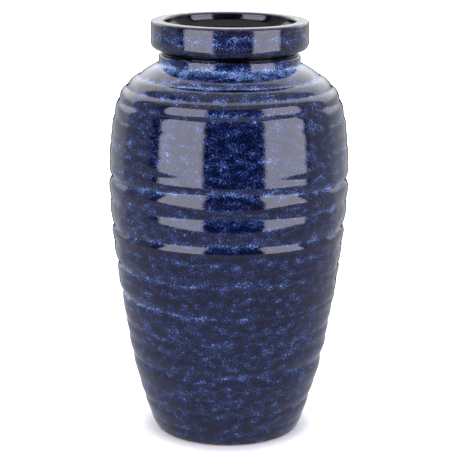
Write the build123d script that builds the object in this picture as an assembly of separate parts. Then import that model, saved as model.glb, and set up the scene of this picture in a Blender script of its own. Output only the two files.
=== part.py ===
from build123d import *
import os

os.makedirs("parts", exist_ok=True)

# A stoneware flower vase, in millimetres. The Z axis is the wheel's axis and z = 0 is the table.
# Every solid is a flat section turned about Z. The clay is thrown in five sections, which are
# luted together with slip at keyed joints, and two coats of glaze cover it.

# ---- Overall sizes, over the glaze ----
HEIGHT = 355.0
BELLY_DIAMETER = 202.2
FOOT_DIAMETER = 126.4
THROAT_DIAMETER = 100.0

# ---- Collar, neck and shoulder, worked down from the lip and out from the throat ----
COLLAR_HEIGHT = 24.0
COLLAR_OVERHANG = 10.1
COLLAR_LOWER_EDGE = 5.5
COLLAR_UPPER_EDGE = 3.0
UNDERCUT_HEIGHT = 4.0
UNDERCUT_LEAN = 3.2
UNDERCUT_CORNER = 0.7
NECK_WALL = 6.1
NECK_OVERHANG = 3.4
NECK_EDGE = 2.4
NECK_FACE = 6.2
NECK_FLARE = 4.6
NECK_FLARE_WIDTH = 5.6
SHOULDER_HEIGHT = 94.2
MOUTH_FLARE = 5.0
FLARE_DEPTH = 16.0
LIP_INNER_EDGE = 2.5

# ---- Walls and foot ----
WALL = 5.6
FLOOR = 10.0
COVE = 14.0
FOOT_RING_WIDTH = 9.0
FOOT_EDGE = 2.6
FOOT_RECESS = 2.0
FOOT_BEVEL = 2.0

# ---- Glaze ----
GLAZE = 0.6
GLAZE_IN_GROOVES = 1.1
GLAZE_LINE = 1.6
GLAZE_LAP_DEPTH = 18.0

# ---- Joints between the clay sections ----
SLIP = 0.5
BASE_JOINT_RISE = 14.0
SHOULDER_JOINT_RISE = 1.6
KEY_SHARE = 0.30
KEY_SLOPE = 1.2

# How full the outline is: each handle's share of the width and height of its half of the body.
FOOT_LEAN = (0.61, 0.24)
BELLY_UNDER = 0.20
BELLY_OVER = 0.73
SHOULDER_SWEEP = (0.715, 0.17)

# The finger rings from the foot up: the width that the fingers took, how far the ridge stands
# out from the form line, and how far the groove above it is pressed in.
RINGS = [
    (12, 0.2, 0.2),
    (18, 0.1, 0.8),
    (15, 0.2, 0.0),
    (23, 0.8, 0.8),
    (18, 0.9, 0.0),
    (13, 0.4, 0.9),
    (14, 0.4, 0.0),
    (10, 0.3, 1.5),
    (15, 0.8, -0.1),
    (12, 0.7, 1.4),
    (19, 0.9, 0.1),
    (13, 1.0, 1.3),
    (23, 0.8, 0.3),
    (18, 0.9, 1.7),
    (14, 0.4, 0.0),
    (16, 0.6, 0.5),
    (10, 0.2, 0.2),
    (14, 0.4, 0.3),
    (14, 0.3, 0.1),
    (12, 0.6, 0.2),
    (13, 0.6, 0.5),
    (14, 0.2, 0.0),
]
# Where the ridge lies in its ring, and how far the curve runs on level at a ridge and a groove.
RIDGE_PLACE = 0.60
RIDGE_REACH = 0.50
GROOVE_REACH = 0.12
# The same for the sweep of the neck into the shoulder, and for the flare of the mouth.
SWEEP_REACH = 0.40
MOUTH_REACH = 0.40

UP = Vector(0, 0, 1)
OUT = Vector(1, 0, 0)


def point(radius, height):
    return Vector(radius, 0, height)


def inward(place, direction, depth):
    """A point at a depth into the wall, square to a line that runs up the outside."""
    return place - Vector(direction.Z, 0, -direction.X) * depth


def soft_curve(start, start_direction, end, end_direction, start_reach, end_reach):
    """A curve that leaves and arrives along two directions, and runs on along each for a share
    of its length."""
    length = (end - start).length
    return Bezier(
        start,
        start + start_direction * length * start_reach,
        end - end_direction * length * end_reach,
        end,
    )


# ---- Radii and heights that follow from the sizes ----
throat_radius = THROAT_DIAMETER / 2
mouth_radius = throat_radius + MOUTH_FLARE
undercut_radius = throat_radius + NECK_WALL
collar_radius = undercut_radius + COLLAR_OVERHANG
neck_radius = undercut_radius + NECK_OVERHANG
shoulder_radius = neck_radius + NECK_FLARE_WIDTH
belly_radius = BELLY_DIAMETER / 2
foot_radius = FOOT_DIAMETER / 2

collar_bottom = HEIGHT - COLLAR_HEIGHT
undercut_bottom = collar_bottom - UNDERCUT_HEIGHT
neck_face_bottom = undercut_bottom - NECK_FACE
neck_foot = neck_face_bottom - NECK_FLARE
belly_height = neck_foot - SHOULDER_HEIGHT
lap_height = HEIGHT - GLAZE_LAP_DEPTH
undercut_way = point(UNDERCUT_LEAN, UNDERCUT_HEIGHT).normalized()

# ---- Form line: the smooth outline that the finger rings follow ----
foot_point = point(foot_radius, GLAZE_LINE)
belly_point = point(belly_radius, belly_height)
shoulder_point = point(shoulder_radius, neck_foot)
lower_span = belly_point - foot_point
upper_span = shoulder_point - belly_point
foot_handle = point(FOOT_LEAN[0] * lower_span.X, FOOT_LEAN[1] * lower_span.Z)
belly_handle_down = UP * BELLY_UNDER * lower_span.Z
belly_handle_up = UP * BELLY_OVER * upper_span.Z
shoulder_handle = point(SHOULDER_SWEEP[0] * upper_span.X, SHOULDER_SWEEP[1] * upper_span.Z)
foot_direction = foot_handle.normalized()
shoulder_direction = shoulder_handle.normalized()


def form_line(depth):
    """The lower and upper curve of the body, at a depth into the wall."""
    foot = inward(foot_point, foot_direction, depth)
    belly = inward(belly_point, UP, depth)
    shoulder = inward(shoulder_point, shoulder_direction, depth)
    lower_scale = (belly - foot).length / lower_span.length
    upper_scale = (shoulder - belly).length / upper_span.length
    lower = Bezier(
        foot,
        foot + foot_handle * lower_scale,
        belly - belly_handle_down * lower_scale,
        belly,
    )
    upper = Bezier(
        belly,
        belly + belly_handle_up * upper_scale,
        shoulder - shoulder_handle * upper_scale,
        shoulder,
    )
    return lower, upper


form = Wire(form_line(0))
ring_scale = form.length / sum(width for width, _, _ in RINGS)


def form_place(distance, depth):
    """A point at a distance up the form line and a depth into the wall, with its direction."""
    place = form.position_at(distance, position_mode=PositionMode.LENGTH)
    direction = form.tangent_at(distance, position_mode=PositionMode.LENGTH)
    return inward(place, direction, depth), direction


def ringed_wall(ridge_coat, groove_coat):
    """The outside of the body with its finger rings, below coats of the given thickness."""
    edges = []
    distance = 0.0
    groove, groove_way = form_place(distance, ridge_coat)
    for width, lift, press in RINGS:
        ridge_distance = distance + RIDGE_PLACE * width * ring_scale
        ridge, ridge_way = form_place(ridge_distance, ridge_coat - lift)
        edges.append(soft_curve(groove, groove_way, ridge, ridge_way, GROOVE_REACH, RIDGE_REACH))
        distance = distance + width * ring_scale
        groove, groove_way = form_place(distance, groove_coat + press)
        edges.append(soft_curve(ridge, ridge_way, groove, groove_way, RIDGE_REACH, GROOVE_REACH))
    return edges


def undercut_place(height, depth):
    """The point of the leaning undercut wall at a height, and at a depth into it."""
    start = inward(point(undercut_radius, undercut_bottom), undercut_way, depth)
    return start + undercut_way * ((height - start.Z) / undercut_way.Z)


def neck_and_collar(start, coat):
    """From the shoulder up the neck, over its ledge, the undercut, the collar and the lip, and
    down the throat to the line where the two glazes meet, below a coat of a given thickness."""
    neck_low = point(neck_radius - coat, neck_face_bottom)
    neck_high = point(neck_radius - coat, undercut_bottom - NECK_EDGE)
    ledge_out = point(neck_radius - NECK_EDGE, undercut_bottom - coat)
    undercut_foot = undercut_place(undercut_bottom - coat, coat)
    undercut_top = undercut_place(collar_bottom + coat, coat)
    ledge_in = undercut_foot + OUT * UNDERCUT_CORNER
    undercut_low = undercut_foot + undercut_way * UNDERCUT_CORNER
    undercut_high = undercut_top - undercut_way * UNDERCUT_CORNER
    underside_in = undercut_top + OUT * UNDERCUT_CORNER
    underside_out = point(collar_radius - COLLAR_LOWER_EDGE, collar_bottom + coat)
    face_low = point(collar_radius - coat, collar_bottom + COLLAR_LOWER_EDGE)
    face_high = point(collar_radius - coat, HEIGHT - COLLAR_UPPER_EDGE)
    lip_out = point(collar_radius - COLLAR_UPPER_EDGE, HEIGHT - coat)
    lip_in = point(mouth_radius + LIP_INNER_EDGE, HEIGHT - coat)
    mouth = point(mouth_radius + coat, HEIGHT - LIP_INNER_EDGE)
    throat_top = point(throat_radius + coat, HEIGHT - FLARE_DEPTH)
    lap = point(throat_radius + coat, lap_height)
    return [
        soft_curve(start, shoulder_direction, neck_low, UP, SWEEP_REACH, SWEEP_REACH),
        Line(neck_low, neck_high),
        TangentArc(neck_high, ledge_out, tangent=UP),
        Line(ledge_out, ledge_in),
        TangentArc(ledge_in, undercut_low, tangent=-OUT),
        Line(undercut_low, undercut_high),
        TangentArc(undercut_high, underside_in, tangent=undercut_way),
        Line(underside_in, underside_out),
        TangentArc(underside_out, face_low, tangent=OUT),
        Line(face_low, face_high),
        TangentArc(face_high, lip_out, tangent=UP),
        Line(lip_out, lip_in),
        TangentArc(lip_in, mouth, tangent=-OUT),
        soft_curve(mouth, -UP, throat_top, -UP, MOUTH_REACH, MOUTH_REACH),
        Line(throat_top, lap),
    ]


def inside_wall(coat):
    """From the line where the two glazes meet down the throat, under the shoulder and down the
    wall to the middle of the floor, below a coat of the given thickness."""
    lower, upper = form_line(GLAZE + WALL + GLAZE - coat)
    shoulder = upper @ 1
    lap = point(throat_radius + coat, lap_height)
    bend_radius = (shoulder.X - lap.X) / (1 - shoulder_direction.Z)
    throat_bottom = point(lap.X, shoulder.Z - bend_radius * shoulder_direction.X)
    floor_height = FLOOR + GLAZE - coat
    wall = lower.trim((FLOOR + COVE) / lower.length, 1.0)
    wall_foot = wall @ 0
    wall_way = wall % 0
    corner = wall_foot - wall_way * ((wall_foot.Z - floor_height) / wall_way.Z)
    floor_edge = point(corner.X - COVE, floor_height)
    return [
        Line(lap, throat_bottom),
        TangentArc(throat_bottom, shoulder, tangent=-UP),
        upper,
        wall,
        Bezier(wall_foot, corner, floor_edge),
        Line(floor_edge, point(0, floor_height)),
    ]


def foot_outline(wall_foot, floor_middle):
    """From the wall's foot round the foot ring and across the recess to the axis."""
    ring_outside = point(foot_radius - FOOT_EDGE, 0)
    ring_inside = point(foot_radius - FOOT_EDGE - FOOT_RING_WIDTH, 0)
    recess_edge = point(ring_inside.X - FOOT_BEVEL, FOOT_RECESS)
    recess_middle = point(0, FOOT_RECESS)
    return [
        TangentArc(ring_outside, wall_foot, tangent=OUT),
        Line(ring_outside, ring_inside),
        Line(ring_inside, recess_edge),
        Line(recess_edge, recess_middle),
        Line(recess_middle, floor_middle),
    ]


def section(edges):
    return Face(Wire(edges))


# ---- Sections of the clay and of the two glaze coats ----
glaze_outside = ringed_wall(0, 0)
glaze_outside += neck_and_collar(glaze_outside[-1] @ 1, 0)
clay_outside = ringed_wall(GLAZE, GLAZE_IN_GROOVES)
clay_outside += neck_and_collar(clay_outside[-1] @ 1, GLAZE)
liner_inside = inside_wall(0)
clay_inside = inside_wall(GLAZE)
clay_foot = clay_outside[0] @ 0
clay_floor = clay_inside[-1] @ 1
glaze_lap = Line(glaze_outside[-1] @ 1, clay_outside[-1] @ 1)

clay = section(clay_outside + clay_inside + foot_outline(clay_foot, clay_floor))
outer_glaze = section(glaze_outside + [glaze_lap, Line(foot_point, clay_foot)] + clay_outside)
liner_glaze = section(
    liner_inside + [glaze_lap, Line(liner_inside[-1] @ 1, clay_floor)] + clay_inside
)


# ---- Joints: a level cut with a V-shaped key in the middle of the wall ----
def above_joint(height, lift):
    """Everything above a joint line that is raised by a lift."""
    wall = clay & Line(point(0, height), point(BELLY_DIAMETER, height))
    wall_in = wall.bounding_box().min.X
    wall_out = wall.bounding_box().max.X
    middle = (wall_in + wall_out) / 2
    half_key = KEY_SHARE * (wall_out - wall_in)
    return section(
        Polyline(
            point(0, height + lift),
            point(middle - half_key, height + lift),
            point(middle, height + lift + half_key * KEY_SLOPE),
            point(middle + half_key, height + lift),
            point(BELLY_DIAMETER, height + lift),
            point(BELLY_DIAMETER, 2 * HEIGHT),
            point(0, 2 * HEIGHT),
            close=True,
        )
    )


joints = {
    "base": FLOOR + BASE_JOINT_RISE,
    "belly": belly_height,
    "shoulder": neck_foot + SHOULDER_JOINT_RISE,
    "collar": undercut_bottom + UNDERCUT_HEIGHT / 2,
}
clay_names = ["foot_base", "lower_body", "upper_body", "neck_ring", "rim_collar"]

# ---- Pieces ----
sections = {"outer_glaze": outer_glaze, "liner_glaze": liner_glaze}
rest = clay
for clay_name, (joint_name, height) in zip(clay_names, joints.items()):
    sections[clay_name] = rest - above_joint(height, 0)
    rest = rest & above_joint(height, 0)
    sections[joint_name + "_slip"] = rest - above_joint(height, SLIP)
    rest = rest & above_joint(height, SLIP)
sections[clay_names[-1]] = rest

for name, flat in sections.items():
    piece = revolve(flat, Axis.Z, 360)
    export_step(piece, f"parts/{name}.step")
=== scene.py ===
# %% [markdown]
# # A blue flower vase, thrown and glazed in Blender
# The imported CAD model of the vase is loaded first. It gives every size, and it stays fixed.
# Each of its eleven pieces is then thrown again as a Blender mesh: its outline is cut out,
# smoothed, spun about the wheel's axis and left a little uneven, as hands leave it. Last come the
# glazes, the table and the studio lights. Lengths are in metres, and Z is the wheel's axis.

# %% Load the fixed frame
import functools
import math

import bpy
import numpy as np
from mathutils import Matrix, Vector


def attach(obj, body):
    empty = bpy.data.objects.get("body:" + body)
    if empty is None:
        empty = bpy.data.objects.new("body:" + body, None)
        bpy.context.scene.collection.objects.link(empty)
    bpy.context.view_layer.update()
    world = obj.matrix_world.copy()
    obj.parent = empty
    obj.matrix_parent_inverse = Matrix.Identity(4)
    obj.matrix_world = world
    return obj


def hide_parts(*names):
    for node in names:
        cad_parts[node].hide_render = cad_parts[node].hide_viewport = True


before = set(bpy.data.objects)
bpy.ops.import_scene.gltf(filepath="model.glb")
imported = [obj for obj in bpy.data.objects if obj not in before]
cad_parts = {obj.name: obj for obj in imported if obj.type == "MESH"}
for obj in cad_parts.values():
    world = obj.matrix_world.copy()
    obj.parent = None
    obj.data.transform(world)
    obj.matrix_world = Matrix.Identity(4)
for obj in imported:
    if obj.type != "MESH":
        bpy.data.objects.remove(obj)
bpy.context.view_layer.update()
MM = 0.001

# %% [markdown]
# ## Camera
# A long lens from a little over a metre looks down on the vase by 14 degrees, so the mouth opens
# as a flat ellipse and the outline hardly narrows with distance. The slight roll is the tilt of
# a camera that was levelled by eye.

# %% Camera
camera_data = bpy.data.cameras.new("camera")
camera_data.lens = 122.6
camera_data.sensor_width = 36.0
camera_data.clip_start = 0.05
camera_data.clip_end = 50.0
camera = bpy.data.objects.new("camera", camera_data)
bpy.context.scene.collection.objects.link(camera)
camera.location = (0.0006, -1.303, 0.5036)
camera.rotation_euler = (math.radians(90 - 14.16), 0.0, 0.0)
camera.rotation_euler.rotate_axis("Z", math.radians(0.48))
bpy.context.scene.camera = camera
print("camera at", tuple(round(v, 3) for v in camera.location))

# %% [markdown]
# ## Selecting, as by hand
# Operators work on what is selected, so every step starts from a clean selection.


# %% Helpers
def deselect_everything():
    if bpy.context.object and bpy.context.object.mode != "OBJECT":
        bpy.ops.object.mode_set(mode="OBJECT")
    bpy.ops.object.select_all(action="DESELECT")


def make_active(thing):
    deselect_everything()
    thing.select_set(True)
    bpy.context.view_layer.objects.active = thing


# %% [markdown]
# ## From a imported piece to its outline
# Every piece is a body of revolution, so half of one cut through the axis says everything about
# it. A copy of the CAD mesh is bisected twice: once to drop the half at -X, and once to keep only
# the line where it crosses the plane Y = 0.


# %% Cut the outline out of a piece
ON_PLANE = 1e-7
SAME_POINT = 1e-6


def cut_outline(node):
    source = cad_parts[node]
    outline = source.copy()
    outline.data = source.data.copy()
    outline.data.materials.clear()
    outline.name = node + "_outline"
    outline.parent = None
    for key in list(outline.keys()):
        del outline[key]
    bpy.context.scene.collection.objects.link(outline)
    make_active(outline)
    bpy.ops.object.mode_set(mode="EDIT")
    bpy.ops.mesh.select_all(action="SELECT")
    bpy.ops.mesh.remove_doubles(threshold=SAME_POINT)
    bpy.ops.mesh.select_all(action="SELECT")
    bpy.ops.mesh.bisect(plane_co=(0, 0, 0), plane_no=(1, 0, 0), clear_inner=True,
                        threshold=ON_PLANE)
    bpy.ops.mesh.select_all(action="SELECT")
    bpy.ops.mesh.bisect(plane_co=(0, 0, 0), plane_no=(0, 1, 0), clear_inner=True,
                        clear_outer=True, threshold=ON_PLANE)
    bpy.ops.mesh.select_all(action="SELECT")
    bpy.ops.mesh.remove_doubles(threshold=SAME_POINT)
    bpy.ops.object.mode_set(mode="OBJECT")
    return outline


# %% [markdown]
# ## Round the chords again
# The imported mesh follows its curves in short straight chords, and a glossy glaze would show each
# of them. The outline becomes a Bezier curve with automatic handles, which runs smoothly through
# its points. Only a real corner keeps straight handles.

# %% Smooth the outline
CORNER = math.radians(28)
STEPS_BETWEEN_POINTS = 6


def smooth_points(outline):
    """The outline's points in order, as radius and height, and whether it closes on itself."""
    make_active(outline)
    bpy.ops.object.convert(target="CURVE")
    closed = outline.data.splines[0].use_cyclic_u
    bpy.ops.object.mode_set(mode="EDIT")
    bpy.ops.curve.select_all(action="SELECT")
    bpy.ops.curve.spline_type_set(type="BEZIER")
    bpy.ops.curve.handle_type_set(type="AUTOMATIC")
    bpy.ops.object.mode_set(mode="OBJECT")
    knots = outline.data.splines[0].bezier_points
    for i, knot in enumerate(knots):
        before = knots[i - 1].co
        after = knots[(i + 1) % len(knots)].co
        if (knot.co - before).angle(after - knot.co, 0.0) > CORNER:
            knot.handle_left_type = "VECTOR"
            knot.handle_right_type = "VECTOR"
    outline.data.resolution_u = STEPS_BETWEEN_POINTS
    bpy.ops.object.convert(target="MESH")
    points = np.array([v.co[:] for v in outline.data.vertices])[:, [0, 2]]
    bpy.data.objects.remove(outline)
    return points, closed


# %% [markdown]
# ## Split at the corners, and space the points evenly
# The outline always runs the same way round: up the outside and back down the inside. It is
# split at its corners, and each stretch between two corners gets points that lie closer together
# where it bends. For a glaze coat the first stretches, up to the line in the throat where the
# two glazes meet, are the side that is seen.


# %% Stretches of an outline
def turns(points, closed):
    """How sharply the outline turns at each point."""
    if closed:
        back = points - np.roll(points, 1, axis=0)
        ahead = np.roll(points, -1, axis=0) - points
    else:
        back = np.vstack([points[1] - points[0], points[1:] - points[:-1]])
        ahead = np.vstack([points[1:] - points[:-1], points[-1] - points[-2]])
    turn = np.arctan2(ahead[:, 1], ahead[:, 0]) - np.arctan2(back[:, 1], back[:, 0])
    return np.abs((turn + math.pi) % (2 * math.pi) - math.pi)


def stretches(points, closed):
    """The outline split at its corners, in order from its foot or from its upper end."""
    x, z = points[:, 0], points[:, 1]
    if closed:
        area = np.dot(x, np.roll(z, -1)) - np.dot(z, np.roll(x, -1))
        if area < 0:
            points = points[::-1]
        corners = np.flatnonzero(turns(points, closed) > CORNER)
        lowest = points[corners, 1].min()
        low = [c for c in corners if points[c, 1] < lowest + 1 * MM]
        first = max(low, key=lambda c: points[c, 0])
        points = np.roll(points, -first, axis=0)
        points = np.vstack([points, points[:1]])
        corners = sorted((c - first) % (len(points) - 1) for c in corners) + [len(points) - 1]
    else:
        if z[0] < z[-1]:
            points = points[::-1]
        inner = np.flatnonzero(turns(points, closed) > CORNER)
        corners = sorted({0, *inner, len(points) - 1})
    return [points[a:b + 1] for a, b in zip(corners[:-1], corners[1:])]


def even_points(stretch, step, bend):
    """Points along a stretch, one for each step of length or of bend."""
    chord = np.diff(stretch, axis=0)
    length = np.hypot(chord[:, 0], chord[:, 1])
    way = np.unwrap(np.arctan2(chord[:, 1], chord[:, 0]))
    turn = np.zeros(len(length))
    if len(length) > 1:
        change = np.abs(np.diff(way))
        turn[:-1] += change / 2
        turn[1:] += change / 2
    weight = np.concatenate([[0], np.cumsum(length / step + turn / bend)])
    count = max(1, int(round(weight[-1])))
    wanted = np.linspace(0, weight[-1], count + 1)
    return np.column_stack([np.interp(wanted, weight, stretch[:, i]) for i in range(2)])


# %% [markdown]
# ## Where glaze gathers
# Molten glaze runs off ridges and edges and gathers in hollows. How hollow a place is, is how far
# it lies below a line that runs smoothly past it. The value is kept on every point of the mesh,
# in millimetres, and the glaze material reads it.

# %% Hollows
HOLLOW_REACH = 7 * MM


def hollows(points):
    chord = np.diff(points, axis=0)
    along = np.concatenate([[0], np.cumsum(np.hypot(chord[:, 0], chord[:, 1]))])
    depth = np.zeros(len(points))
    for i, place in enumerate(along):
        weight = np.exp(-0.5 * ((along - place) / HOLLOW_REACH) ** 2) * np.gradient(along)
        weight /= weight.sum()
        offset = along - place
        mean = (weight[:, None] * points).sum(0)
        mean_offset = (weight * offset).sum()
        spread = (weight * offset ** 2).sum() - mean_offset ** 2
        slope = ((weight * offset)[:, None] * points).sum(0) - mean_offset * mean
        slope /= max(spread, 1e-12)
        centre = mean - slope * mean_offset
        way = slope / max(np.linalg.norm(slope), 1e-9)
        depth[i] = np.dot(centre - points[i], (way[1], -way[0]))
    return depth / MM


# %% [markdown]
# ## The rings that the vase has
# The outside of the blue glaze gives the depth of the finger rings at every height. The hand that
# follows uses it to smooth some of them away again.


# %% Ring depths
@functools.cache
def outline_parts(node):
    points, closed = smooth_points(cut_outline(node))
    return stretches(points, closed), closed


def last_seen(parts):
    """The stretch of a glaze coat that ends where the two glazes meet in the throat."""
    middle_height = np.vstack(parts)[:, 1].mean()
    high = [i for i, part in enumerate(parts) if part[-1, 1] > middle_height]
    return min(high, key=lambda i: parts[i][-1, 0])


BODY_TOP = 0.312
parts, _ = outline_parts("outer_glaze")
outside = np.vstack([even_points(part, 1 * MM, CORNER)[:-1] for part in parts[:last_seen(parts) + 1]])
outside = outside[outside[:, 1] < BODY_TOP]
ring_heights = outside[:, 1] / MM
ring_depths = hollows(outside)
print("deepest ring", round(float(ring_depths.max()), 2), "mm")

# %% [markdown]
# ## The thrower's hand
# Finger rings on a real pot wander up and down, deepen on one side and fade out on another. One
# and the same movement is given to clay, slip and glaze, so that no coat breaks through another.
# Collar, neck and foot were trimmed true, so the movement fades out towards them.

# %% Unevenness
# A press of the fingers: height and depth in mm (less than 0 fills up), the side it faces in
# degrees from +X, how tall it is in mm, and how far round it spreads in degrees.
PRESSES = [
    (121.9, 1.15, 180, 3.5, 75),
    (121.9, -1.15, 0, 3.5, 75),
    (148.8, 0.8, 180, 4.0, 75),
    (148.8, -0.8, 0, 4.0, 75),
    (180.8, -0.25, 180, 4.0, 70),
    (221.8, 0.15, 180, 4.0, 70),
    (98.0, -0.3, 180, 4.0, 70),
    (67.4, -0.5, 180, 5.0, 70),
    (67.4, 0.4, 0, 5.0, 70),
    (30.3, -0.4, 180, 6.0, 70),
    (30.3, 0.3, 0, 6.0, 70),
]
# The height in mm over which the hand fades in above the foot and out below the neck.
FADES_IN = (4, 40)
FADES_OUT = (292, 312)
# How far the rings climb at the front, by height, in mm.
FRONT = -90
CLIMB_HEIGHTS = (0, 150, 168, 181, 204, 222, 240, 262)
CLIMBS = (0, 0, 0.4, 2.7, 2.9, 5.0, 1.5, 0)
CLIMB_SPREAD = 42
# What share of each ring is smoothed away again at the front, by height.
SMOOTHED_HEIGHTS = (50, 90, 108, 171, 176, 238, 246, 270, 284)
SMOOTHED = (0.2, 0.75, 0.95, 1.0, 0.0, 0.0, 0.6, 0.6, 0.0)
SMOOTHED_SPREAD = 60
# What share is added to the depth of the rings all round the shoulder, by height.
DEEPENED_HEIGHTS = (272, 284, 300, 308)
DEEPENED = (0.0, 1.1, 1.1, 0.0)
# Nearer to the axis than this radius, in mm, sideways movement dies away.
STILL_RADIUS = 40


def fade(x, low, high):
    t = np.clip((x - low) / (high - low), 0, 1)
    return t * t * (3 - 2 * t)


def facing(angle, side, spread):
    off = (np.degrees(angle) - side + 180) % 360 - 180
    return np.exp(-0.5 * (off / spread) ** 2)


def hand(places):
    """Where the hand leaves each point, and how much more hollow it is there, in mm."""
    x, y, z = places[:, 0], places[:, 1], places[:, 2] / MM
    radius = np.hypot(x, y) / MM
    angle = np.arctan2(y, x)
    body = fade(z, *FADES_IN) * (1 - fade(z, *FADES_OUT))
    rise = 0.45 * np.sin(angle + 0.4 + z * 0.045)
    rise += 0.30 * np.sin(2 * angle + 1.7 - z * 0.06)
    rise += 0.20 * np.sin(3 * angle + 4.0 + z * 0.09)
    rise += 0.12 * np.sin(5 * angle + 2.0 - z * 0.05)
    rise += facing(angle, FRONT, CLIMB_SPREAD) * np.interp(z, CLIMB_HEIGHTS, CLIMBS)
    pressed = np.zeros(len(places))
    for height, depth, side, tall, spread in PRESSES:
        pressed += depth * np.exp(-0.5 * ((z - height) / tall) ** 2) * facing(angle, side, spread)
    pressed *= body
    share = facing(angle, FRONT, SMOOTHED_SPREAD) * np.interp(z, SMOOTHED_HEIGHTS, SMOOTHED)
    depth = np.interp(z, ring_heights, ring_depths)
    out = body * share * depth - np.interp(z, DEEPENED_HEIGHTS, DEEPENED) * depth - pressed
    oval = body * (0.18 * np.cos(2 * angle + 0.6) + 0.10 * np.sin(3 * angle + z * 0.03))
    near_axis = np.clip(radius / STILL_RADIUS, 0, 1)
    scale = 1 + (out + oval) * near_axis / np.maximum(radius, 1e-3)
    return np.column_stack([x * scale, y * scale, (z + body * rise) * MM]), pressed


# %% [markdown]
# ## Throw a piece
# The evenly spaced outline is spun a full turn about Z, as the wheel does. Points that fall on
# each other at the axis and at the seam are merged, the normals are turned outward, and then the
# hand goes over it. Edges sharper than 35 degrees stay crisp.

# %% Spin an outline
CRISP = math.radians(35)


def write_outline(node, ring, hollow, closed):
    count = len(ring)
    edges = [(i, i + 1) for i in range(count - 1)] + ([(count - 1, 0)] if closed else [])
    mesh = bpy.data.meshes.new(node + "_thrown")
    mesh.from_pydata([(radius if radius > SAME_POINT else 0.0, 0.0, z) for radius, z in ring], edges, [])
    layer = mesh.attributes.new("hollow", "FLOAT", "POINT").data
    layer.foreach_set("value", np.array(hollow, np.float32))
    piece = bpy.data.objects.new(node + "_thrown", mesh)
    bpy.context.scene.collection.objects.link(piece)
    return piece


def spin(piece, steps):
    make_active(piece)
    bpy.ops.object.mode_set(mode="EDIT")
    bpy.ops.mesh.select_all(action="SELECT")
    bpy.ops.mesh.spin(steps=steps, dupli=False, angle=2 * math.pi, use_auto_merge=True,
                      center=(0, 0, 0), axis=(0, 0, 1))
    bpy.ops.mesh.select_all(action="SELECT")
    bpy.ops.mesh.remove_doubles(threshold=2e-6)
    bpy.ops.mesh.select_all(action="SELECT")
    bpy.ops.mesh.normals_make_consistent(inside=False)
    bpy.ops.object.mode_set(mode="OBJECT")


def go_over_by_hand(piece, seen_from_outside):
    mesh = piece.data
    places = np.empty(len(mesh.vertices) * 3, np.float32)
    mesh.vertices.foreach_get("co", places)
    moved, deeper = hand(places.reshape(-1, 3).astype(float))
    mesh.vertices.foreach_set("co", moved.astype(np.float32).ravel())
    if seen_from_outside:
        layer = mesh.attributes["hollow"].data
        values = np.empty(len(layer), np.float32)
        layer.foreach_get("value", values)
        layer.foreach_set("value", values + deeper.astype(np.float32))
    mesh.update()
    bpy.ops.object.shade_smooth_by_angle(angle=CRISP)
    mesh.validate()


# %% Throw
def throw(node, steps, step, bend, hidden_step=None, hidden_bend=None):
    """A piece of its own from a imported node. With a hidden step, the side of a coat that lies
    on the clay gets wider spaced points than the side that is seen."""
    parts, closed = outline_parts(node)
    coat = hidden_step is not None
    lap = last_seen(parts) if coat else len(parts)
    seen, unseen = [], []
    for i, part in enumerate(parts):
        if i <= lap:
            seen.extend(even_points(part, step, bend)[:-1])
        else:
            unseen.extend(even_points(part, hidden_step, hidden_bend)[:-1])
    ring = seen + unseen + ([] if closed else [parts[-1][-1]])
    hollow = np.zeros(len(ring))
    if coat:
        hollow[:len(seen)] = hollows(np.array(seen))
    piece = write_outline(node, [tuple(map(float, p)) for p in ring], hollow, closed)
    spin(piece, steps)
    go_over_by_hand(piece, seen_from_outside=coat and closed)
    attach(piece, "root")
    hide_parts(node)
    triangles = sum(len(face.vertices) - 2 for face in piece.data.polygons)
    print(node, "outline points", len(ring), "triangles", triangles,
          "hollow mm", round(float(hollow.min()), 2), "to", round(float(hollow.max()), 2))
    return piece


# %% [markdown]
# ## The two glaze coats
# The blue glaze covers the outside from just above the foot, over the lip and a finger's width
# into the throat. The liner glaze covers the inside from there to the floor. These two are what
# is seen, so they get the finest outlines.

# %% Throw the glaze coats
blue_coat = throw("outer_glaze", 180, 2.5 * MM, math.radians(12), 5 * MM, math.radians(25))
liner_coat = throw("liner_glaze", 120, 4 * MM, math.radians(12), 8 * MM, math.radians(25))

# %% [markdown]
# ## Clay and slip
# Underneath are the five thrown sections of the clay and the four rings of slip that hold them
# together. Only the foot ring shows, when the vase is turned over.

# %% Throw the clay sections and the slip
clay = [throw(node, 96, 6 * MM, math.radians(20))
        for node in ("foot_base", "lower_body", "upper_body", "neck_ring", "rim_collar")]
slips = [throw(node, 96, 6 * MM, math.radians(20))
         for node in ("base_slip", "belly_slip", "shoulder_slip", "collar_slip")]


# %% [markdown]
# ## Colours and small shader helpers
# Colours are given as screen values from 0 to 255, the way they are read off a colour picker,
# and turned into the linear values that the shaders work with.

# %% Shader helpers
def tone(red, green, blue):
    def linear(value):
        value = value / 255
        return value / 12.92 if value <= 0.04045 else ((value + 0.055) / 1.055) ** 2.4
    return (linear(red), linear(green), linear(blue), 1.0)


def put(tree, socket, value):
    """Set a socket to a number or a colour, or link another socket to it."""
    if isinstance(value, bpy.types.NodeSocket):
        tree.links.new(value, socket)
    else:
        socket.default_value = value


def maths(tree, operation, *values):
    node = tree.nodes.new("ShaderNodeMath")
    node.operation = operation
    for socket, value in zip(node.inputs, values):
        put(tree, socket, value)
    return node.outputs[0]


def between(tree, value, low, high, to_low=0.0, to_high=1.0):
    """A value spread from one range to another, softly and without overshoot."""
    node = tree.nodes.new("ShaderNodeMapRange")
    node.interpolation_type = "SMOOTHSTEP"
    for name, number in zip(("Value", "From Min", "From Max", "To Min", "To Max"),
                            (value, low, high, to_low, to_high)):
        put(tree, node.inputs[name], number)
    return node.outputs["Result"]


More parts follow.
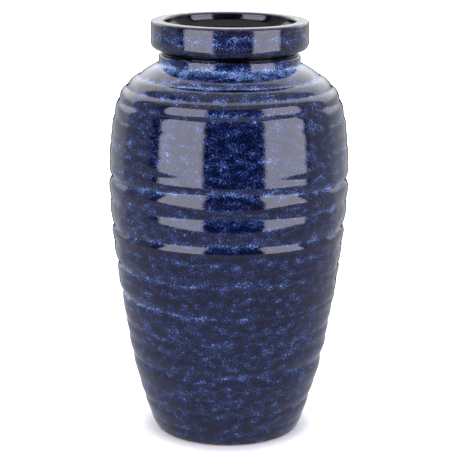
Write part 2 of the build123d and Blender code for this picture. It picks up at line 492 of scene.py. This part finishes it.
def noise(tree, where, scale, detail=1.0, stretch=None):
    if stretch:
        mapping = tree.nodes.new("ShaderNodeMapping")
        mapping.inputs["Scale"].default_value = stretch
        put(tree, mapping.inputs["Vector"], where)
        where = mapping.outputs["Vector"]
    node = tree.nodes.new("ShaderNodeTexNoise")
    node.inputs["Scale"].default_value = scale
    node.inputs["Detail"].default_value = detail
    put(tree, node.inputs["Vector"], where)
    return node.outputs["Fac"]


def ramp(tree, value, stops):
    node = tree.nodes.new("ShaderNodeValToRGB")
    put(tree, node.inputs["Fac"], value)
    elements = node.color_ramp.elements
    elements[0].position, elements[0].color = stops[0]
    elements[1].position, elements[1].color = stops[-1]
    for position, colour in stops[1:-1]:
        elements.new(position).color = colour
    return node.outputs["Color"]


def mix_colours(tree, factor, first, second):
    node = tree.nodes.new("ShaderNodeMix")
    node.data_type = "RGBA"
    put(tree, node.inputs["Factor"], factor)
    colour_sockets = [s for s in node.inputs if s.type == "RGBA"]
    put(tree, colour_sockets[0], first)
    put(tree, colour_sockets[1], second)
    return [s for s in node.outputs if s.type == "RGBA"][0]


def new_material(name):
    material = bpy.data.materials.new(name)
    material.use_nodes = True
    tree = material.node_tree
    where = tree.nodes.new("ShaderNodeTexCoord").outputs["Object"]
    return material, tree, tree.nodes["Principled BSDF"], where


def new_group(name, outputs):
    """An empty node group that takes a place and gives the named values."""
    group = bpy.data.node_groups.new(name, "ShaderNodeTree")
    group.interface.new_socket("Place", in_out="INPUT", socket_type="NodeSocketVector")
    for output in outputs:
        group.interface.new_socket(output, in_out="OUTPUT", socket_type="NodeSocketFloat")
    start = group.nodes.new("NodeGroupInput")
    end = group.nodes.new("NodeGroupOutput")
    return group, start.outputs["Place"], end


def use_group(tree, group, where):
    node = tree.nodes.new("ShaderNodeGroup")
    node.node_tree = group
    put(tree, node.inputs["Place"], where)
    return node.outputs


# %% [markdown]
# ## Crystals in the glaze
# A reactive glaze clouds over with small light crystals as it cools. They are about a millimetre
# across and lie in drifts that the wheel has drawn out along the rings. Both glazes use the same
# group of nodes: fine grains, and the drifts that they thicken in.

# %% Crystal group
crystals, place_in, crystal_end = new_group("glaze_crystals", ("Grains", "Drifts"))
grains = noise(crystals, place_in, 1050, 1.0)
drifts = noise(crystals, place_in, 110, 2.0, (1, 1, 1.8))
put(crystals, crystal_end.inputs["Grains"], maths(crystals, "SUBTRACT", grains, 0.5))
put(crystals, crystal_end.inputs["Drifts"], maths(crystals, "SUBTRACT", drifts, 0.5))
print("groups", [g.name for g in bpy.data.node_groups])

# %% [markdown]
# ## Blue glaze
# Dark cobalt where it is of even thickness, lighter where it has gathered in the grooves and in
# the sweep below the neck, and broken to a brown black on ridges and edges. Down the throat and
# in the undercut below the collar the colour is painted nearly black, as painted shade for these
# shaded recesses. The gloss is that of glass, and the crystals dent it by a few hundredths of a
# millimetre.

# %% Blue glaze material
blue, tree, shader, where = new_material("blue_glaze")
hollow_node = tree.nodes.new("ShaderNodeAttribute")
hollow_node.attribute_name = "hollow"
hollow = hollow_node.outputs["Fac"]
axes = tree.nodes.new("ShaderNodeSeparateXYZ")
put(tree, axes.inputs[0], where)
across = maths(tree, "SQRT", maths(tree, "ADD", maths(tree, "POWER", axes.outputs["X"], 2.0),
                                   maths(tree, "POWER", axes.outputs["Y"], 2.0)))
height = axes.outputs["Z"]
crystal = use_group(tree, crystals, where)

thickness = between(tree, hollow, -0.6, 2.6, -0.12, 0.30)
collar = between(tree, height, 0.327, 0.334, 0.0, 0.17)
on_shoulder = maths(tree, "MULTIPLY", between(tree, height, 0.272, 0.296),
                    between(tree, height, 0.322, 0.314))
shoulder = maths(tree, "MULTIPLY", on_shoulder, between(tree, hollow, -0.5, 0.4, 0.06, 0.42))
grain = maths(tree, "MULTIPLY", crystal["Grains"], 1.9)
drift = maths(tree, "MULTIPLY", crystal["Drifts"], 1.35)
milk = maths(tree, "ADD", maths(tree, "ADD", grain, drift),
             maths(tree, "ADD", thickness, maths(tree, "ADD", collar, shoulder)))
milk = maths(tree, "ADD", milk, between(tree, height, 0.215, 0.165, 0.40, 0.35))
milk = maths(tree, "ADD", milk, between(tree, height, 0.120, 0.080, 0.0, 0.03))
# Painted shade: the throat and the undercut below the collar are coloured nearly black where they lie in
# shade.
throat = between(tree, across, 0.0560, 0.0545)
undercut = maths(tree, "MULTIPLY", between(tree, across, 0.0610, 0.0604),
                 between(tree, height, 0.3325, 0.3318))
painted_shade_in_recesses = maths(tree, "MULTIPLY", between(tree, height, 0.3262, 0.3268),
                maths(tree, "MAXIMUM", throat, undercut))
glaze_colour = ramp(tree, milk, [
    (0.00, tone(3, 6, 26)),
    (0.20, tone(5, 11, 37)),
    (0.45, tone(15, 26, 60)),
    (0.70, tone(42, 57, 100)),
    (0.88, tone(80, 106, 158)),
    (1.00, tone(124, 152, 198)),
])
ridge = between(tree, hollow, -0.45, -1.2, 0.0, 0.6)
broken = mix_colours(tree, ridge, glaze_colour, tone(26, 20, 22))
# Near-black painted shade replaces the glaze colour in the throat and the undercut.
put(tree, shader.inputs["Base Color"], mix_colours(tree, painted_shade_in_recesses, broken, tone(6, 5, 9)))
put(tree, shader.inputs["Roughness"], between(tree, milk, 0.3, 1.0, 0.045, 0.16))
shader.inputs["IOR"].default_value = 1.5
dents = tree.nodes.new("ShaderNodeBump")
dents.inputs["Strength"].default_value = 0.6
dents.inputs["Distance"].default_value = 0.06 * MM
put(tree, dents.inputs["Height"], crystal["Grains"])
put(tree, shader.inputs["Normal"], dents.outputs["Normal"])

# %% [markdown]
# ## Liner glaze
# The inside has a plain dark glaze that keeps the water in. It is the same glass with hardly any
# crystals.

# %% Liner glaze material
liner, tree, shader, where = new_material("liner_glaze")
crystal = use_group(tree, crystals, where)
clouded = maths(tree, "ADD", maths(tree, "MULTIPLY", crystal["Grains"], 0.5),
                maths(tree, "ADD", crystal["Drifts"], 0.4))
put(tree, shader.inputs["Base Color"], ramp(tree, clouded, [
    (0.0, tone(5, 5, 10)),
    (0.6, tone(11, 12, 22)),
    (1.0, tone(30, 36, 56)),
]))
shader.inputs["Roughness"].default_value = 0.09
shader.inputs["IOR"].default_value = 1.5

# %% [markdown]
# ## Stoneware and slip
# Bare fired clay is buff, matt and gritty, with dark iron specks. Slip is the same clay thinned
# with water, a little paler and smoother.

# %% Clay group
clay_grit, place_in, grit_end = new_group("clay_grit", ("Grit", "Specks"))
put(clay_grit, grit_end.inputs["Grit"], noise(clay_grit, place_in, 1400, 4.0))
specks = between(clay_grit, noise(clay_grit, place_in, 420, 0.0), 0.68, 0.74)
put(clay_grit, grit_end.inputs["Specks"], specks)


def clay_material(name, dark, light, speck_share, roughness):
    material, tree, shader, where = new_material(name)
    grit = use_group(tree, clay_grit, where)
    body = ramp(tree, grit["Grit"], [(0.3, dark), (0.7, light)])
    share = maths(tree, "MULTIPLY", grit["Specks"], speck_share)
    put(tree, shader.inputs["Base Color"], mix_colours(tree, share, body, tone(58, 44, 34)))
    shader.inputs["Roughness"].default_value = roughness
    bump = tree.nodes.new("ShaderNodeBump")
    bump.inputs["Strength"].default_value = 0.5
    bump.inputs["Distance"].default_value = 0.2 * MM
    put(tree, bump.inputs["Height"], grit["Grit"])
    put(tree, shader.inputs["Normal"], bump.outputs["Normal"])
    return material


stoneware = clay_material("stoneware", tone(140, 116, 92), tone(178, 154, 126), 0.9, 0.86)
slip_clay = clay_material("slip", tone(160, 142, 118), tone(190, 172, 148), 0.3, 0.8)

# %% Give every piece its material
finishes = [(blue_coat, blue, "blue_glaze"), (liner_coat, liner, "liner_glaze")]
finishes += [(piece, stoneware, "stoneware") for piece in clay]
finishes += [(piece, slip_clay, "slip") for piece in slips]
for piece, material, slot in finishes:
    piece.data.materials.clear()
    piece.data.materials.append(material)
print("pieces with a finish", len(finishes))

# %% [markdown]
# ## Table
# The vase stands on a white table. To the camera it shows its lit white plus a painted glow that
# is nil out to about 6 cm from the axis and full from about 11 cm, so it burns out white around the
# vase and only a soft ring of real shade stays at the foot. In the glaze the table is less bright,
# and its front and back edges show as the ends of light bands, so a reflected ray that passes an
# edge goes on to the studio.

# %% Table
TABLE_FRONT = -0.53
TABLE_BACK = 0.33
TABLE_HALF = 4.0
bpy.ops.mesh.primitive_plane_add(size=2 * TABLE_HALF)
table = bpy.context.object
table.name = "table"
for vertex in table.data.vertices:
    if vertex.co.y < 0:
        vertex.co.y = TABLE_FRONT
paper, tree, shader, where = new_material("white_table")
shader.inputs["Base Color"].default_value = tone(228, 228, 228)
shader.inputs["Roughness"].default_value = 0.9
shader.inputs["Specular IOR Level"].default_value = 0.0
path = tree.nodes.new("ShaderNodeLightPath")
# Painted glow on the table, seen by the camera only: an emission that grows with distance from the foot,
# so the table burns out white away from the vase and only the ring at the foot keeps its real shade.
painted_glow = tree.nodes.new("ShaderNodeEmission")
out = tree.nodes.new("ShaderNodeVectorMath")
out.operation = "LENGTH"
put(tree, out.inputs[0], where)
put(tree, painted_glow.inputs["Strength"], between(tree, out.outputs["Value"], 0.058, 0.108, 0.0, 1.0))
bright = tree.nodes.new("ShaderNodeAddShader")
put(tree, bright.inputs[0], shader.outputs[0])
put(tree, bright.inputs[1], painted_glow.outputs[0])
mirrored = tree.nodes.new("ShaderNodeEmission")
mirrored.inputs["Color"].default_value = tone(198, 198, 206)
passed = tree.nodes.new("ShaderNodeBsdfTransparent")
axes = tree.nodes.new("ShaderNodeSeparateXYZ")
put(tree, axes.inputs[0], where)
beyond = maths(tree, "GREATER_THAN", axes.outputs["Y"], TABLE_BACK)


def mix_shaders(tree, factor, first, second):
    node = tree.nodes.new("ShaderNodeMixShader")
    put(tree, node.inputs[0], factor)
    put(tree, node.inputs[1], first)
    put(tree, node.inputs[2], second)
    return node.outputs[0]


in_glaze = mix_shaders(tree, beyond, mirrored.outputs[0], passed.outputs[0])
seen = mix_shaders(tree, path.outputs["Is Camera Ray"], shader.outputs[0], bright.outputs[0])
surface = mix_shaders(tree, path.outputs["Is Glossy Ray"], seen, in_glaze)
put(tree, tree.nodes["Material Output"].inputs["Surface"], surface)
table.data.materials.append(paper)

# %% [markdown]
# ## Two softboxes
# Two tall soft lights stand in front, left and right. They make the long pale bands in the glaze,
# so their sides are placed by the directions in which the vase sees them.


# %% Softboxes
SOFTBOX_DISTANCE = 1.2
SOFTBOX_LOW = -0.55
SOFTBOX_HIGH = 1.15
SOFTBOX_RADIANCE = 4.9


def softbox(name, side_low, side_high):
    """An upright soft light between two directions, in degrees from -Y towards +X."""
    distance, low, high = SOFTBOX_DISTANCE, SOFTBOX_LOW, SOFTBOX_HIGH
    middle = math.radians((side_low + side_high) / 2)
    half = math.radians((side_high - side_low) / 2)
    data = bpy.data.lights.new(name, "AREA")
    data.shape = "RECTANGLE"
    data.size = 2 * distance * math.tan(half)
    data.size_y = high - low
    data.energy = SOFTBOX_RADIANCE * math.pi * data.size * data.size_y
    light = bpy.data.objects.new(name, data)
    bpy.context.scene.collection.objects.link(light)
    light.location = (distance * math.sin(middle), -distance * math.cos(middle), (low + high) / 2)
    toward = Vector((-math.sin(middle), math.cos(middle), 0))
    light.rotation_euler = toward.to_track_quat("-Z", "Y").to_euler()
    data.color = (1.0, 1.0, 1.15)
    light.visible_camera = False
    print(name, "in m", round(data.size, 2), "by", round(data.size_y, 2))


softbox("left_softbox", -67.2, -23.6)
softbox("right_softbox", 33.3, 75.0)

# %% [markdown]
# ## The studio around
# To the camera everything around is white. In the glaze it is dark in front, dim at the sides and
# bright behind, with a dark gap behind the table. A pale ceiling begins above the softboxes.

# %% World
world = bpy.data.worlds.new("studio")
bpy.context.scene.world = world
world.use_nodes = True
tree = world.node_tree
direction = tree.nodes.new("ShaderNodeSeparateXYZ")
put(tree, direction.inputs[0], tree.nodes.new("ShaderNodeTexCoord").outputs["Generated"])
sideways = maths(tree, "ABSOLUTE", direction.outputs["X"])
turned = maths(tree, "ARCTAN2", sideways, maths(tree, "MULTIPLY", direction.outputs["Y"], -1.0))
turned = maths(tree, "DIVIDE", turned, math.pi)
DARK = (0.02, 0.02, 0.024, 1)
to_right = maths(tree, "GREATER_THAN", direction.outputs["X"], 0.0)
panel = mix_colours(tree, to_right, (0.42, 0.42, 0.44, 1), (0.6, 0.6, 0.63, 1))
walls = mix_colours(tree, between(tree, turned, 80.5 / 180, 82.5 / 180), DARK, panel)
backdrop = mix_colours(tree, between(tree, direction.outputs["Z"], 0.0, 0.30),
                       (0.80, 0.80, 0.80, 1), (2.4, 2.4, 2.4, 1))
walls = mix_colours(tree, between(tree, turned, 116 / 180, 120 / 180), walls, backdrop)
straight_behind = between(tree, turned, 160 / 180, 163 / 180)
below = between(tree, direction.outputs["Z"], 0.03, 0.0)
gap = maths(tree, "MULTIPLY", straight_behind, below)
walls = mix_colours(tree, gap, walls, DARK)
overhead = maths(tree, "MULTIPLY", between(tree, direction.outputs["Z"], 0.62, 0.68),
                 between(tree, turned, 120 / 180, 116 / 180))
walls = mix_colours(tree, overhead, walls, (0.80, 0.80, 0.88, 1))
to_camera = tree.nodes.new("ShaderNodeLightPath").outputs["Is Camera Ray"]
shown = mix_colours(tree, to_camera, walls, (1.0, 1.0, 1.0, 1))
put(tree, tree.nodes["Background"].inputs["Color"], shown)
bpy.context.scene.view_settings.view_transform = "Standard"
